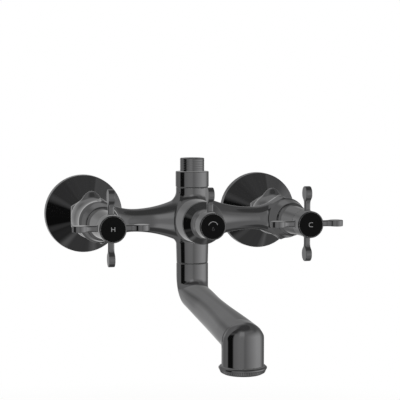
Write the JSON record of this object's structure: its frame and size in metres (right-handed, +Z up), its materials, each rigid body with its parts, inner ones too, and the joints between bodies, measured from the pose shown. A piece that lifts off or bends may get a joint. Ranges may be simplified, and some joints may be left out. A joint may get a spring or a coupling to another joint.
{
  "type": "wall mixer",
  "caption": "Exposed wall mixer with cross handles, a diverter lever, a threaded shower outlet on top and a swinging low spout.",
  "frame": {"origin": "midway between the two wall inlets, in the plane of the finished wall", "axes": "+Z up, +Y into the wall, +X to the user's right as they face the wall; hot inlet at -X, cold inlet at +X"},
  "size_m": [0.2136, 0.2492, 0.1407],
  "materials": {
    "dark_plating": "polished dark nickel plating",
    "flange_plating": "polished dark nickel plating on spun sheet",
    "brass": "machined",
    "seal_rubber": "matte",
    "ceramic": "lapped alumina",
    "cap_black": "moulded black plastic",
    "stainless": "plain",
    "acetal": "moulded"
  },
  "bodies": {
    "mixer_body": {"body": "dark_plating", "hot_flange": "flange_plating", "cold_flange": "flange_plating", "hot_union": "brass", "cold_union": "brass", "hot_union_nut": "dark_plating", "cold_union_nut": "dark_plating", "hot_inlet_washer": "seal_rubber", "cold_inlet_washer": "seal_rubber", "hot_valve_body": "brass", "cold_valve_body": "brass", "hot_seat_seal": "seal_rubber", "cold_seat_seal": "seal_rubber", "hot_fixed_disc": "ceramic", "cold_fixed_disc": "ceramic", "hot_bonnet": "dark_plating", "cold_bonnet": "dark_plating", "diverter_body": "brass", "diverter_port_seal": "seal_rubber", "diverter_fixed_disc": "ceramic", "diverter_bonnet": "dark_plating", "shower_collar": "dark_plating", "shower_nipple": "dark_plating", "shower_collar_seal": "seal_rubber", "shower_nipple_seal": "seal_rubber", "spout_grub_screw": "stainless"},
    "hot_handle_turning": {"hot_handle": "dark_plating", "hot_handle_screw": "stainless", "hot_index_cap": "cap_black", "hot_spindle": "brass", "hot_spindle_seals": "seal_rubber", "hot_spindle_clip": "stainless", "hot_moving_disc": "ceramic"},
    "cold_handle_turning": {"cold_handle": "dark_plating", "cold_handle_screw": "stainless", "cold_index_cap": "cap_black", "cold_spindle": "brass", "cold_spindle_seals": "seal_rubber", "cold_spindle_clip": "stainless", "cold_moving_disc": "ceramic"},
    "diverter_turning": {"diverter_lever": "dark_plating", "diverter_lever_screw": "stainless", "diverter_index_cap": "cap_black", "diverter_spindle": "brass", "diverter_spindle_seals": "seal_rubber", "diverter_spindle_clip": "stainless", "diverter_moving_disc": "ceramic"},
    "spout_swinging": {"spout": "dark_plating", "spout_tail": "brass", "spout_tail_seals": "seal_rubber", "spout_slide_ring": "acetal", "aerator_ring": "dark_plating", "aerator_insert": "acetal", "aerator_screen": "stainless", "aerator_washer": "seal_rubber"}
  },
  "joints": [
    {"name": "hot_handle_turn", "type": "hinge", "parent": "mixer_body", "child": "hot_handle_turning", "pos_m": [-0.075, -0.076, 0], "axis": [0, -1, 0], "range_deg": [0, 90]},
    {"name": "cold_handle_turn", "type": "hinge", "parent": "mixer_body", "child": "cold_handle_turning", "pos_m": [0.075, -0.076, 0], "axis": [0, 1, 0], "range_deg": [0, 90]},
    {"name": "diverter_lever_turn", "type": "hinge", "parent": "mixer_body", "child": "diverter_turning", "pos_m": [0, -0.076, 0], "axis": [0, 1, 0], "range_deg": [-90, 90]},
    {"name": "spout_swivel", "type": "hinge", "parent": "mixer_body", "child": "spout_swinging", "pos_m": [0, -0.076, -0.0339], "axis": [0, 0, 1], "range_deg": [-90, 90]}
  ]
}
